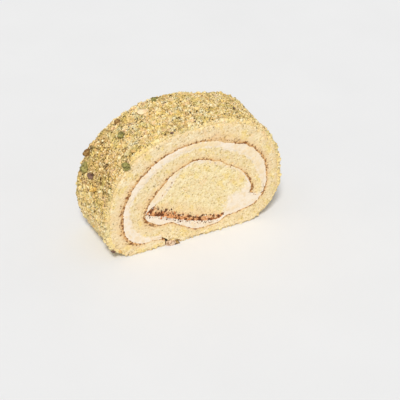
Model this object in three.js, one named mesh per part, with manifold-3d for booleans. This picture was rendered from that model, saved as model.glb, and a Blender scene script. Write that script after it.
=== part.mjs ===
// A slice of swiss roll cake, lying as it is served. One sheet of sponge is wound almost twice
// round a core of sponge, with whipped cream between the turns and a coat of crumbs outside.
// Units are millimetres. X runs across the cut face, Y along the axis of the roll and Z up.
// The origin is on the resting surface, at the middle of the slice.

import * as THREE from "three";
import { mergeVertices } from "three/addons/utils/BufferGeometryUtils.js";
import Module from "manifold-3d";

const wasm = await Module();
wasm.setup();

// The roll as a whole. Its outline is four quarters of superellipses that share one widest
// height, cut off flat by the resting surface.
const sliceLength = 38;
const rollHeight = 69.8;
const widestHeight = 24;
const rollMiddle = 0.5;
const leftHalfWidth = 52.5;
const rightHalfWidth = 51.2;
const quarters = {
  upperLeft: { width: leftHalfWidth, height: rollHeight - widestHeight, power: 2.25 },
  upperRight: { width: rightHalfWidth, height: rollHeight - widestHeight, power: 2.45 },
  lowerLeft: { width: leftHalfWidth, height: widestHeight + 3, power: 3.6 },
  lowerRight: { width: rightHalfWidth, height: widestHeight + 6, power: 2.2 },
};

// The winding. Angles are in degrees from straight down, clockwise as seen from the front, and
// go on past 360 in the second turn. Radii are measured from the eye of the roll.
const eye = new THREE.Vector2(-1, 31);
const outerEnd = 30;
const liftStart = 376;
const innerEnd = 648;
const innerEndBulge = 3.5;
const liftedRadius = 31.8;
const cutSlant = 4;

// Thickness of the sponge sheet and of the cream that lies on it, at [angle, thickness].
const spongeThickness = [
  [30, 3.8], [45, 8.4], [60, 10.3], [90, 10.3], [120, 11.4], [150, 11.0], [180, 10.2],
  [205, 12.4], [220, 14.0], [240, 11.5], [255, 10.3], [270, 9.9], [298, 9.8], [308, 12.4],
  [318, 11.2], [331, 6.2], [345, 5.1], [360, 5.2], [375, 8.9], [405, 9.5], [420, 10.1],
  [435, 8.6], [450, 11.1], [465, 10.6], [480, 9.2], [510, 7.7], [540, 7.5], [555, 7.9],
  [570, 9.0], [585, 8.2], [605, 9.3], [630, 7.4], [650, 7.7],
];
const outerCreamThickness = [
  [30, 0.5], [45, 2.4], [60, 4.5], [75, 3.2], [90, 2.5], [105, 4.5], [120, 5.3], [135, 4.5],
  [165, 3.2], [195, 2.9], [212, 2.7], [225, 4.8], [240, 6.7], [255, 5.7], [270, 4.2],
  [285, 0.8], [292, 0.8],
];
const creamGap = 0.25;
const creamRecess = 0.3;
const creamStart = 40;
const creamEnd = 281;

// The core of sponge, a leaf shape in the eye of the roll, as [x, z] of the bends of its edge.
const coreBends = [
  [-29.2, 24], [-22, 29.7], [-16, 37], [-11, 44.5], [-4, 50.2], [2, 47.9], [9, 44.6], [18, 39.7],
  [27, 33.4], [31.4, 24.5], [28, 21.5], [21.5, 20], [18.5, 14.5], [14.5, 8.2], [6, 8.9],
  [-5, 12.3], [-13, 15.8], [-20, 19.3],
];

// The coat of crumbs on the outside, and the crumbs and nuts that stand out of it. It thins out
// towards the resting surface on both sides, and bites into the sheet that it lies on.
const coatStart = 52;
const coatEnd = 306;
const thinningAtStart = 14;
const thinningAtEnd = 30;
const coatDepth = 1.3;
const coatBite = 3;
const edgeSink = 0.4;
const reliefHeight = 1.15;
const reliefPitch = 6;
const crumbCount = 150;
const crumbLargest = 1.9;
const crumbSmallest = 1.1;
const crumbSpacing = 4.6;
const crumbSink = 0.15;

// Larger pieces of nut and peel in the coat, as [angle round the roll, place along it, radius].
// They stand out by a share of their radius, and the crumbs are sunk by one.
const nutRise = 0.2;
const nuts = [
  [171, 15.9, 2.2], [134.5, 2, 2], [101.5, 13.7, 2.4], [122, -16.8, 2.2], [110, 16.6, 2],
  [100.5, 5.1, 1.7], [223, -3.7, 1.8], [183, -14.7, 1.5], [157.5, 10.7, 2.1], [138, 13.5, 1.5],
];

// One piece of nut is caught under the roll, where the sheet lifts over its own outer end.
const caughtNut = { x: -13, y: -17.5, z: 1.2, length: 2.7, height: 1.2 };

// The slice is a little lower at its back.
const backDrop = 1.5;

// Fineness of the section, in degrees, and of the coat along the roll.
const outlineStep = 3;
const layerStep = 4;
const corePoints = 54;
const coatSteps = 14;

// Numbers that look random but are the same each time.
let seed = 20;
function random() {
  seed = (seed * 1664525 + 1013904223) % 4294967296;
  return seed / 4294967296;
}

// Smooth noise between -1 and 1 that varies over about one unit.
function latticeValue(i, j, k) {
  const mixed = Math.sin(i * 127.1 + j * 311.7 + k * 74.7) * 43758.5453;
  return 2 * (mixed - Math.floor(mixed)) - 1;
}

function noise(x, y, z) {
  const corner = [Math.floor(x), Math.floor(y), Math.floor(z)];
  const part = [x - corner[0], y - corner[1], z - corner[2]].map((t) => t * t * (3 - 2 * t));
  let sum = 0;
  for (let n = 0; n < 8; n += 1) {
    const bit = [n & 1, (n >> 1) & 1, (n >> 2) & 1];
    const weight = bit.reduce((w, b, axis) => w * (b ? part[axis] : 1 - part[axis]), 1);
    sum += weight * latticeValue(corner[0] + bit[0], corner[1] + bit[1], corner[2] + bit[2]);
  }
  return sum;
}

// A smooth curve through [angle, value] stations.
function stationCurve(stations) {
  const angles = stations.map((station) => station[0]);
  const values = stations.map((station) => station[1]);
  const curve = new THREE.CubicInterpolant(angles, values, 1);
  return (angle) => curve.evaluate(angle)[0];
}

const spongeAt = stationCurve(spongeThickness);
const outerCreamAt = stationCurve(outerCreamThickness);

function direction(angle) {
  const radians = THREE.MathUtils.degToRad(angle);
  return new THREE.Vector2(-Math.sin(radians), -Math.cos(radians));
}

function pointAt(angle, radius) {
  return direction(angle).multiplyScalar(radius).add(eye);
}

function isInside(point) {
  const side = point.x < rollMiddle ? "Left" : "Right";
  const quarter = quarters[(point.y < widestHeight ? "lower" : "upper") + side];
  const across = Math.abs(point.x - rollMiddle) / quarter.width;
  const up = Math.abs(point.y - widestHeight) / quarter.height;
  return point.y > 0 && across ** quarter.power + up ** quarter.power < 1;
}

// Radius of the whole roll's outline, found by halving.
function outlineRadius(angle) {
  let near = 0;
  let far = 100;
  for (let halving = 0; halving < 40; halving += 1) {
    const middle = (near + far) / 2;
    if (isInside(pointAt(angle, middle))) {
      near = middle;
    } else {
      far = middle;
    }
  }
  return near;
}

// Outer and inner face of the sponge sheet. In the second turn the outer face lies on the cream
// of the first.
function outerRadius(angle) {
  if (angle < liftStart) {
    return outlineRadius(angle);
  }
  if (angle < 360 + outerEnd) {
    return Math.min(outlineRadius(angle), liftedRadius);
  }
  return innerRadius(angle - 360) - outerCreamAt(angle - 360);
}

function innerRadius(angle) {
  return outerRadius(angle) - spongeAt(angle);
}

// Points of a curve in the section, at both ends and at every multiple of the step between.
function arc(from, to, step, radiusAt) {
  const angles = [from];
  const first = (Math.floor(Math.min(from, to) / step) + 1) * step;
  const between = [];
  for (let angle = first; angle < Math.max(from, to); angle += step) {
    between.push(angle);
  }
  angles.push(...(to > from ? between : between.reverse()), to);
  return angles.map((angle) => pointAt(angle, radiusAt(angle)));
}

// The rounded inner end of the sheet, from its outer face to its inner face.
function sheetTip() {
  const outer = outerRadius(innerEnd);
  const inner = innerRadius(innerEnd);
  return [0.15, 0.35, 0.6, 0.85].map((share) => {
    const angle = innerEnd + innerEndBulge * Math.sin(share * Math.PI);
    return pointAt(angle, outer + (inner - outer) * share);
  });
}

// Share of the coat's full depth: none under the roll, all on its flanks and top.
function coatAt(angle) {
  const rise = THREE.MathUtils.smoothstep(angle, coatStart, coatStart + thinningAtStart);
  const fall = 1 - THREE.MathUtils.smoothstep(angle, coatEnd - thinningAtEnd, coatEnd);
  return rise * fall;
}

function sheetOutline() {
  const below = (angle) => outerRadius(angle) - coatDepth * coatAt(angle);
  return [
    ...arc(outerEnd, liftStart - 1, outlineStep, below),
    ...arc(liftStart, innerEnd, layerStep, outerRadius),
    ...sheetTip(),
    ...arc(innerEnd, outerEnd + cutSlant, layerStep, innerRadius),
  ];
}

function coatOutline() {
  return [
    ...arc(coatStart, coatEnd, outlineStep, outerRadius),
    ...arc(coatEnd, coatStart, outlineStep * 2, (angle) => outerRadius(angle) - coatBite),
  ];
}

// The last stretch of the sheet, with its rounded end.
function sheetEndOutline() {
  const from = innerEnd - 6 * layerStep;
  return [
    ...arc(from, innerEnd, layerStep, outerRadius),
    ...sheetTip(),
    ...arc(innerEnd, from, layerStep, innerRadius),
  ];
}

// The inner face of the sheet, followed once round. The sheet's end lies across its seam.
function hollowOutline() {
  return arc(innerEnd - 5, innerEnd - 360, layerStep, innerRadius);
}

// What is free inside the sheet, with a gap to it, over a length.
function hollow(length) {
  const room = toSolid(prism(grow(hollowOutline(), -creamGap), length));
  return room.subtract(toSolid(prism(grow(sheetEndOutline(), creamGap))));
}

function outerCreamOutline() {
  return [
    ...arc(creamStart, creamEnd, layerStep, innerRadius),
    ...arc(creamEnd + 360, creamStart + 360, layerStep, outerRadius),
  ];
}

function coreOutline() {
  const bends = coreBends.map(([x, z]) => new THREE.Vector3(x, z, 0));
  const edge = new THREE.CatmullRomCurve3(bends, true, "centripetal");
  const points = edge.getSpacedPoints(corePoints).slice(0, -1);
  return points.map((point) => new THREE.Vector2(point.x, point.y));
}

// Moves every point of a closed outline outwards by a distance.
function grow(points, distance) {
  const sense = THREE.ShapeUtils.area(points) > 0 ? 1 : -1;
  return points.map((point, index) => {
    const before = points[(index + points.length - 1) % points.length];
    const after = points[(index + 1) % points.length];
    const along = after.clone().sub(before).normalize();
    const outwards = new THREE.Vector2(along.y, -along.x).multiplyScalar(sense * distance);
    return outwards.add(point);
  });
}

// A solid whose section is the outline, from one cut face to the other.
function prism(points, length = sliceLength, steps = 1) {
  const shape = new THREE.Shape(points);
  const geometry = new THREE.ExtrudeGeometry(shape, { depth: length, steps, bevelEnabled: false });
  geometry.translate(0, 0, -length / 2);
  geometry.rotateX(Math.PI / 2);
  return geometry;
}

function toSolid(geometry) {
  const bare = geometry.index ? geometry.toNonIndexed() : geometry.clone();
  bare.deleteAttribute("normal");
  bare.deleteAttribute("uv");
  const merged = mergeVertices(bare, 1e-4);
  const vertProperties = Float32Array.from(merged.attributes.position.array);
  const triVerts = Uint32Array.from(merged.index.array);
  return new wasm.Manifold(new wasm.Mesh({ numProp: 3, vertProperties, triVerts }));
}

// The largest piece of a solid, without loose scraps or sealed hollows.
function soundPiece(solid) {
  const pieces = solid.decompose();
  return pieces.sort((a, b) => b.volume() - a.volume())[0];
}

function toGeometry(solid) {
  const mesh = solid.getMesh();
  const position = Float32Array.from(mesh.vertProperties);
  for (let n = 0; n < position.length; n += 3) {
    const towardsBack = position[n + 1] / sliceLength + 0.5;
    position[n + 2] *= 1 - (backDrop / rollHeight) * towardsBack;
  }
  const geometry = new THREE.BufferGeometry();
  geometry.setAttribute("position", new THREE.BufferAttribute(position, 3));
  geometry.setIndex(new THREE.BufferAttribute(Uint32Array.from(mesh.triVerts), 1));
  geometry.computeVertexNormals();
  return geometry;
}

// How far the crumbly surface stands out at a place, in two sizes of lump.
function relief(x, y, z) {
  const coarse = noise(x / reliefPitch, y / reliefPitch, z / reliefPitch);
  const fine = noise((2 * x) / reliefPitch + 40, (2 * y) / reliefPitch, (2 * z) / reliefPitch);
  return reliefHeight * (0.65 * coarse + 0.5 * fine);
}

function coat() {
  const geometry = prism(coatOutline(), sliceLength, coatSteps);
  const position = geometry.attributes.position;
  const place = new THREE.Vector2();
  for (let n = 0; n < position.count; n += 1) {
    place.set(position.getX(n), position.getZ(n)).sub(eye);
    const angle = (THREE.MathUtils.radToDeg(Math.atan2(-place.x, -place.y)) + 360) % 360;
    const radius = place.length();
    if (radius > outlineRadius(angle) - coatBite / 2) {
      const height = relief(position.getX(n), position.getY(n), position.getZ(n));
      const share = coatAt(angle);
      place.setLength(radius + height * share - edgeSink * (1 - share));
    }
    position.setXYZ(n, place.x + eye.x, position.getY(n), place.y + eye.y);
  }
  return toSolid(geometry);
}

// A lump with uneven half-axes, turned at random.
function lump(centre, radius) {
  const geometry = new THREE.IcosahedronGeometry(radius, 0);
  geometry.scale(0.8 + 0.5 * random(), 0.8 + 0.4 * random(), 0.7 + 0.4 * random());
  geometry.rotateX(random() * Math.PI);
  geometry.rotateZ(random() * Math.PI);
  geometry.translate(centre.x, centre.y, centre.z);
  return toSolid(geometry);
}

function onSurface(angle, along, lift) {
  const bare = pointAt(angle, outlineRadius(angle));
  const out = direction(angle).multiplyScalar(relief(bare.x, along, bare.y) + lift);
  return new THREE.Vector3(bare.x + out.x, along, bare.y + out.y);
}

// Crumbs spread evenly over the coat, the largest first, each clear of the ones before it.
function crumbs() {
  const placed = nuts.map(([angle, along, radius]) => {
    return { centre: onSurface(angle, along, radius * nutRise), radius };
  });
  const tries = 60 * crumbCount;
  for (let attempt = 0; placed.length < crumbCount && attempt < tries; attempt += 1) {
    const radius = THREE.MathUtils.lerp(crumbLargest, crumbSmallest, placed.length / crumbCount);
    const reach = [coatStart + thinningAtStart / 2, coatEnd - thinningAtEnd / 2];
    const angle = THREE.MathUtils.lerp(...reach, random());
    const along = sliceLength * (random() - 0.5);
    const centre = onSurface(angle, along, -radius * crumbSink);
    if (placed.every((other) => other.centre.distanceTo(centre) > crumbSpacing)) {
      placed.push({ centre, radius });
    }
  }
  return placed.map(({ centre, radius }) => lump(centre, radius));
}

function nutUnderRoll() {
  const geometry = new THREE.IcosahedronGeometry(1, 0);
  geometry.scale(caughtNut.length, caughtNut.length / 2, caughtNut.height);
  geometry.translate(caughtNut.x, caughtNut.y, caughtNut.z);
  return toSolid(geometry);
}

// Everything between the two cuts and above the resting surface.
function cutsAndSurface() {
  const box = new THREE.BoxGeometry(4 * rollHeight, sliceLength, 4 * rollHeight);
  box.translate(0, 0, 2 * rollHeight);
  return toSolid(box);
}

function spongeSheet() {
  const parts = [toSolid(prism(sheetOutline())), coat(), nutUnderRoll(), ...crumbs()];
  const whole = wasm.Manifold.union(parts);
  return toGeometry(soundPiece(whole.intersect(cutsAndSurface())));
}

function spongeCore() {
  const filled = toSolid(prism(coreOutline()));
  return toGeometry(soundPiece(filled.intersect(hollow(sliceLength))));
}

function outerCream() {
  const length = sliceLength - 2 * creamRecess;
  return toGeometry(toSolid(prism(grow(outerCreamOutline(), -creamGap), length)));
}

function innerCream() {
  const filled = toSolid(prism(grow(coreOutline(), creamGap)));
  return toGeometry(soundPiece(hollow(sliceLength - 2 * creamRecess).subtract(filled)));
}

const sponge = new THREE.MeshStandardMaterial({ color: 0xe9d9a0, roughness: 0.9 });
const core = new THREE.MeshStandardMaterial({ color: 0xeadb9c, roughness: 0.9 });
const cream = new THREE.MeshStandardMaterial({ color: 0xf8efe2, roughness: 0.5 });

function node(name, geometry, material) {
  const mesh = new THREE.Mesh(geometry, material);
  mesh.name = name;
  return mesh;
}

const slice = new THREE.Group();
slice.add(node("sponge_sheet", spongeSheet(), sponge));
slice.add(node("sponge_core", spongeCore(), core));
slice.add(node("cream_outer", outerCream(), cream));
slice.add(node("cream_inner", innerCream(), cream));

export default slice;
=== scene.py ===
import math

import bmesh
import bpy
import numpy as np
from mathutils import Matrix, Vector, noise


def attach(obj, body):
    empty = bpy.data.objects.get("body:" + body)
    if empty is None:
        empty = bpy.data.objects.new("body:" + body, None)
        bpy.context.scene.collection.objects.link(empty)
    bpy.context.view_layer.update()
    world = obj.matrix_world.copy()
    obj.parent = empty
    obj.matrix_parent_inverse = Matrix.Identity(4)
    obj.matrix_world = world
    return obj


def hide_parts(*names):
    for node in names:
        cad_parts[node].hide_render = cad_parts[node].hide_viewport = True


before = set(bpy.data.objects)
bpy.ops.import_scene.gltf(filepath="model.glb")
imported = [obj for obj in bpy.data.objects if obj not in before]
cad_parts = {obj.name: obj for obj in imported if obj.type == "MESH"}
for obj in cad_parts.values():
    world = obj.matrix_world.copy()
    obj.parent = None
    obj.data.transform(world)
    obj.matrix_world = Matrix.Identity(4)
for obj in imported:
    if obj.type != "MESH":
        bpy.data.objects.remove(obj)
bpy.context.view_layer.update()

bl_info = {
    "name": "Swiss Roll Slice",
    "version": (1, 0, 0),
    "blender": (4, 5, 0),
    "location": "View3D > Sidebar > Cake",
    "description": "Dresses the solids of a slice of swiss roll cake: sponge, cream, crumbs and nuts",
    "category": "Add Mesh",
}

MM = 0.001

# Section of the roll, in millimetres. Angles are in degrees from straight down, clockwise as
# seen from the front, and go on past 360 in the second turn.
SLICE_LENGTH = 38.0
ROLL_HEIGHT = 69.8
WIDEST_HEIGHT = 24.0
ROLL_MIDDLE = 0.5
LEFT_HALF_WIDTH = 52.5
RIGHT_HALF_WIDTH = 51.2
UPPER_LEFT_POWER = 2.25
UPPER_RIGHT_POWER = 2.45
LOWER_LEFT_POWER = 3.6
LOWER_RIGHT_POWER = 2.2
LOWER_LEFT_DEPTH = WIDEST_HEIGHT + 3
LOWER_RIGHT_DEPTH = WIDEST_HEIGHT + 6
BACK_DROP = 1.5
# The back of the slice stands out further than its front, from about its middle on, by angle.
BACK_RISE_FROM = -6.0
BACK_RISE_TO = 17.0
BACK_RISE = (
    (50, 0), (66, 0.6), (80, 1.5), (92, 1.3), (108, 0.4), (140, 0.3), (158, 1.4), (172, 1.7),
    (187, 1.5), (199, 0.2), (210, -1.0), (221, 0.4), (234, 1.7), (248, 1.2), (262, 1.0), (280, 0.3),
    (308, 0),
)

EYE = (-1.0, 31.0)
OUTER_END = 30.0
CUT_SLANT = 4.0
SLANT_FADE = 30.0
LIFT_START = 376.0
LIFTED_RADIUS = 31.8
INNER_END = 648.0
INNER_END_BULGE = 3.5
BULGE_COLUMNS = 8
BULGE_SHARES = (0.15, 0.995)

SPONGE_THICKNESS = (
    (30, 3.8), (45, 8.4), (60, 10.3), (90, 10.3), (120, 11.4), (150, 11.0), (180, 10.2),
    (205, 12.4), (220, 14.0), (240, 11.5), (255, 10.3), (270, 9.9), (298, 9.8), (308, 12.4),
    (318, 11.2), (331, 6.2), (345, 5.1), (360, 5.2), (375, 8.9), (405, 9.5), (420, 10.1),
    (435, 8.6), (450, 11.1), (465, 10.6), (480, 9.2), (510, 7.7), (540, 7.5), (555, 7.9),
    (570, 9.0), (585, 8.2), (605, 9.3), (630, 7.4), (650, 7.7),
)
OUTER_CREAM_THICKNESS = (
    (30, 0.5), (45, 2.4), (60, 4.5), (75, 3.2), (90, 2.5), (105, 4.5), (120, 5.3), (135, 4.5),
    (165, 3.2), (195, 2.9), (212, 2.7), (225, 4.8), (240, 6.7), (255, 5.7), (270, 4.2),
    (285, 0.8), (292, 0.8),
)
CORE_BENDS = (
    (-29.2, 24), (-22, 29.7), (-16, 37), (-11, 44.5), (-4, 50.2), (2, 47.9), (9, 44.6),
    (18, 39.7), (27, 33.4), (31.4, 24.5), (28, 21.5), (21.5, 20), (18.5, 14.5), (14.5, 8.2),
    (6, 8.9), (-5, 12.3), (-13, 15.8), (-20, 19.3),
)

# How far the browned face lies inside the solid's own, by angle.
SKIN_RISE = (
    (30, 0), (34, 0), (42, 0.1), (52, 0), (74, 0), (84, 0), (92, 0.6), (98, 1.2), (108, 1.5),
    (122, 1.95), (132, 1.5), (146, 1.2), (162, 0.9), (178, 0.7), (194, 0.3), (212, 0.5),
    (220, 0.8), (228, 1.5), (244, 1.5), (254, 1.0), (266, 0.1), (282, 0.1), (300, 0.7), (380, 0.9),
    (408, 0.8), (420, 0), (428, 0.3), (436, 1.2), (450, 1.7), (460, 2.2), (478, 2.1), (486, 1.7),
    (496, 2.0), (512, 1.7), (526, 1.4), (534, 0.8), (556, 0.6), (566, 0.1), (576, 0.6), (588, 0.7),
    (598, 1.4), (612, 1.8), (626, 1.0), (650, 1.1),
)

# The crumb coat: the angles where it starts and ends and over which it thins out, its share of
# the sheet's thickness, how deep its hidden side lies and how far it sinks where it is thin.
COAT_START = 50.0
COAT_END = 308.0
THINNING_AT_START = 14.0
THINNING_AT_END = 30.0
COAT_DEPTH = 1.3
COAT_BITE = 3.6
COAT_SINK = 0.6
# Angles over which few crumbs stick, near the foot of each flank, and the shady place above. On the
# left the pale bare coat is also painted light, lifting a foot that faces down into shade.
BARE_AND_LIT_LEFT = (58.0, 86.0)
BARE_RIGHT = (266.0, 298.0)
SHADY_FROM = (84.0, 96.0)
SHADY_TO = (118.0, 140.0)

# The two strips of cream, and how far they reach under and over the sponge beside them.
OUTER_CREAM_START = 38.0
OUTER_CREAM_END = 284.0
INNER_CREAM_START = 186.0
INNER_CREAM_END = 520.0
CREAM_OVERLAP = 0.5
CREAM_LAP = 1.8

# How finely curves are followed, and what counts as one point when a mesh is cleaned.
HALVINGS = 30
FURTHEST = 100.0
BEND_STEPS = 24
CURVE_STEPS = 4000
SAME_POINT = 0.002 * MM
SHORTEST_EDGE = 0.001 * MM
SHARP_BEND = math.radians(50)
# How far the noise and the cells of one seed lie from those of the next.
NOISE_STEP = (17.3, 5.7, 11.1)
CELL_STEP = (9.1, 3.3, 7.9)

# Pieces of nut, peel and fruit in the coat: kind, angle round the roll, place along it, radius,
# and how far the middle stands out, in radii.
TOPPINGS = (
    ("pistachio", 171, 15.6, 2.4, 0.3), ("pistachio", 135, 2.5, 2.0, 0.3),
    ("pistachio", 103.5, 11.5, 2.9, 0.35), ("pistachio", 123, -18.1, 2.2, -0.28),
    ("walnut", 111, 16, 2.0, 0.3), ("walnut", 139, 14, 1.5, 0.3),
    ("peel", 96.5, -2.5, 1.6, 0.3), ("almond", 157.5, 9.7, 2.4, 0.3),
    ("raisin", 101.5, 4.8, 1.8, 0.3), ("raisin", 223, -2.7, 0.6, 0.3),
    ("raisin", 183, -15.0, 0.6, 0.3), ("raisin", 161.5, -18.4, 0.7, 0.3),
)
# Pieces at the foot of the roll: kind, place of the middle and radius.
CAUGHT = (
    ("walnut", (-12.2, -18.6, 0.4), 1.8), ("crust", (-15.4, -18.3, 0.6), 2.5),
    ("raisin", (-48.6, 0.4 - SLICE_LENGTH / 2, 6.4), 0.9),
)
# Pieces of each kind: seed, number of flat facets, roughness and stretch along its own axes.
CHUNK_SHAPES = {
    "pistachio": (11, 10, 0.05, (1.25, 0.95, 0.8)),
    "walnut": (23, 8, 0.14, (1.25, 1.0, 0.8)),
    "raisin": (37, 4, 0.16, (1.35, 0.9, 0.75)),
    "almond": (53, 8, 0.04, (1.3, 1.0, 0.55)),
    "crust": (71, 6, 0.1, (1.2, 0.8, 0.8)),
    "peel": (61, 6, 0.08, (1.7, 0.8, 0.6)),
}

# Camera, in degrees and millimetres, the lights, and the floor, in metres.
VIEW_AZIMUTH = -27.0
VIEW_ELEVATION = 34.0
VIEW_OFFSET = (-10.28, -10.67, -655.69)
FOCAL_LENGTH = 107.1
SENSOR_WIDTH = 36.0
KEY_LIGHT_FROM = (-0.34, -0.6, 0.9)
KEY_LIGHT_POWER = 2.25
KEY_LIGHT_SPREAD = math.radians(12)
ROOM_LIGHT = 0.5
FLOOR_HALF = 3.0
FLOOR_SHADES = ((0.78, 0.78, 0.78, 1), (0.82, 0.82, 0.82, 1))


def station_curve(stations):
    """A smooth curve through [angle, value] stations."""
    at, value = np.array(stations, float).T
    slope = np.empty_like(value)
    slope[1:-1] = (value[2:] - value[:-2]) / (at[2:] - at[:-2])
    slope[0] = (value[1] - value[0]) / (at[1] - at[0])
    slope[-1] = (value[-1] - value[-2]) / (at[-1] - at[-2])

    def curve(angle):
        angle = np.clip(angle, at[0], at[-1])
        n = np.clip(np.searchsorted(at, angle) - 1, 0, len(at) - 2)
        span = at[n + 1] - at[n]
        t = (angle - at[n]) / span
        start = (1 + 2 * t) * (1 - t) ** 2 * value[n] + t * (1 - t) ** 2 * span * slope[n]
        end = t * t * (3 - 2 * t) * value[n + 1] - t * t * (1 - t) * span * slope[n + 1]
        return start + end

    return curve


sponge_at = station_curve(SPONGE_THICKNESS)
outer_cream_at = station_curve(OUTER_CREAM_THICKNESS)
skin_rise_at = station_curve(SKIN_RISE)
back_rise_at = station_curve(BACK_RISE)


def point_at(angle, radius):
    """[x, z] of points at angles and radii from the eye of the roll."""
    radians = np.radians(angle)
    return np.stack([EYE[0] - np.sin(radians) * radius, EYE[1] - np.cos(radians) * radius], -1)


def inside_outline(x, z):
    """Whether points lie in the whole roll. Each quarter of it has a power of its own."""
    left = x < ROLL_MIDDLE
    low = z < WIDEST_HEIGHT
    width = np.where(left, LEFT_HALF_WIDTH, RIGHT_HALF_WIDTH)
    depth = np.where(left, LOWER_LEFT_DEPTH, LOWER_RIGHT_DEPTH)
    height = np.where(low, depth, ROLL_HEIGHT - WIDEST_HEIGHT)
    low_power = np.where(left, LOWER_LEFT_POWER, LOWER_RIGHT_POWER)
    power = np.where(low, low_power, np.where(left, UPPER_LEFT_POWER, UPPER_RIGHT_POWER))
    across = np.abs(x - ROLL_MIDDLE) / width
    up = np.abs(z - WIDEST_HEIGHT) / height
    return (z > 0) & (across**power + up**power < 1)


def outline_radius(angle):
    """Radius of the whole roll's outline, found by halving."""
    near = np.zeros_like(angle, dtype=float)
    far = near + FURTHEST
    for _ in range(HALVINGS):
        middle = (near + far) / 2
        x, z = point_at(angle, middle).T
        inside = inside_outline(x, z)
        near = np.where(inside, middle, near)
        far = np.where(inside, far, middle)
    return near


def outer_radius(angle):
    """Outer face of the sponge sheet. In the second turn it lies on the cream of the first."""
    angle = np.asarray(angle, float)
    radius = outline_radius(np.where(angle > 360 + OUTER_END, angle - 360, angle))
    lifted = (angle >= LIFT_START) & (angle < 360 + OUTER_END)
    second = angle >= 360 + OUTER_END
    before = angle - 360
    below = radius - sponge_at(before) - outer_cream_at(before)
    radius = np.where(lifted, np.minimum(radius, LIFTED_RADIUS), radius)
    return np.where(second, below, radius)


def inner_radius(angle):
    return outer_radius(angle) - sponge_at(angle)


def browned_radius(angle):
    """The browned face of the sheet, a little inside the solid's inner face."""
    return inner_radius(angle) - skin_rise_at(angle)


def smooth_step(value, low, high):
    """0 below low and 1 above high, with a smooth change between."""
    t = np.clip((value - low) / (high - low), 0, 1)
    return t * t * (3 - 2 * t)


def fade(value, low, high):
    return 1 - smooth_step(value, low, high)


def coat_at(angle):
    """Share of the coat's full depth: none under the roll, all on its flanks and top."""
    rise = smooth_step(angle, COAT_START, COAT_START + THINNING_AT_START)
    return rise * fade(angle, COAT_END - THINNING_AT_END, COAT_END)


def between(start, first, end, last, at):
    """The value at a place between two others, on a straight line."""
    return ((end - at) * first + (at - start) * last) / (end - start)


def core_edge(count):
    """Angle and radius round the core's edge: a centripetal curve through its bends."""
    bends = np.array(CORE_BENDS, float)
    points = []
    for n in range(len(bends)):
        p = [bends[(n + k) % len(bends)] for k in (-1, 0, 1, 2)]
        gaps = [np.linalg.norm(b - a) ** 0.5 for a, b in zip(p, p[1:])]
        t = np.concatenate([[0], np.cumsum(gaps)])
        for s in np.linspace(t[1], t[2], BEND_STEPS, endpoint=False):
            a = [between(t[k], p[k], t[k + 1], p[k + 1], s) for k in range(3)]
            b = [between(t[k], a[k], t[k + 2], a[k + 1], s) for k in range(2)]
            points.append(between(t[1], b[0], t[2], b[1], s))
    away = np.array(points) - EYE
    angle = np.degrees(np.arctan2(-away[:, 0], -away[:, 1])) % 360
    order = np.argsort(angle)
    even = np.linspace(0, 360, count, endpoint=False)
    return even, np.interp(even, angle[order], np.hypot(*away.T)[order], period=360)


def hollow_radius(angle):
    """Inner face of the sheet once round, for angles that go on to 360 and past it."""
    angle = np.asarray(angle, float)
    turned = np.where(angle < INNER_END + INNER_END_BULGE / 2 - 360, angle + 360, angle)
    return browned_radius(turned)


def even_angles(start, end, pitch, radius_at):
    """Angles whose points on a curve of the section are about a pitch apart."""
    fine = np.linspace(start, end, CURVE_STEPS)
    points = point_at(fine, radius_at(fine))
    length = np.concatenate([[0], np.cumsum(np.linalg.norm(np.diff(points, axis=0), axis=1))])
    count = max(2, int(round(length[-1] / pitch)) + 1)
    return np.interp(np.linspace(0, length[-1], count), length, fine)


# Noise and meshes


def shifted(points, size, seed, step):
    """Where the noise or the cells of a size and a seed are read for each point."""
    shift = Vector([seed * each for each in step])
    return [Vector(point) / size + shift for point in points]


def smooth_noise(points, size, seed):
    """Noise between about -1 and 1 at each point, with lumps of a size."""
    return np.array([noise.noise(place) for place in shifted(points, size, seed, NOISE_STEP)])


def relief(points, *layers):
    """A sum of noises at each point. Each layer is a height, the size of its lumps and a seed."""
    return sum(height * smooth_noise(points, size, seed) for height, size, seed in layers)


def waves(points, *layers):
    """Dips at each point, none below 0. Each layer is a depth, the size of its waves and a seed."""
    return sum(depth * (1 + smooth_noise(points, size, seed)) for depth, size, seed in layers)


def cell_distance(points, size, seed):
    """Distance to the nearest cell centre at each point, in cell sizes."""
    return np.array([noise.voronoi(place)[0][0] for place in shifted(points, size, seed, CELL_STEP)])


def section_loop(front_rows, back_rows, walls):
    """Shares of the thickness and of the length round a section, front face first."""
    along = np.linspace(0, 1, walls + 2)[1:-1]
    front, back = np.linspace(0, 1, front_rows), np.linspace(1, 0, back_rows)
    deep = np.concatenate([front, np.ones(walls), back, np.zeros(walls)])
    length = np.concatenate([np.zeros(front_rows), along, np.ones(back_rows), along[::-1]])
    return deep, length


def cut_side(length, columns):
    """-1 at points of the front cut face, 1 at those of the back one, and 0 between them."""
    return np.tile(np.where(np.isin(length, (0, 1)), np.sign(length - 0.5), 0), columns)


def strip_points(angle, radius, along):
    """Points of a strip round the roll, one column of them for each row of angles and radii."""
    x, z = np.moveaxis(point_at(angle, radius), -1, 0)
    return np.dstack([x, along + 0 * x, z]).reshape(-1, 3)


def push_out(points, lift):
    """Move points away from the eye of the roll."""
    away = points[:, [0, 2]] - EYE
    points[:, [0, 2]] += away / np.linalg.norm(away, axis=1)[:, None] * lift[:, None]


def ring_faces(this, after, around):
    """Quads between two closed rings of points, each given by the number of its first point."""
    pairs = [(n, (n + 1) % around) for n in range(around)]
    return [(this + n, this + m, after + m, after + n) for n, m in pairs]


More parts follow.
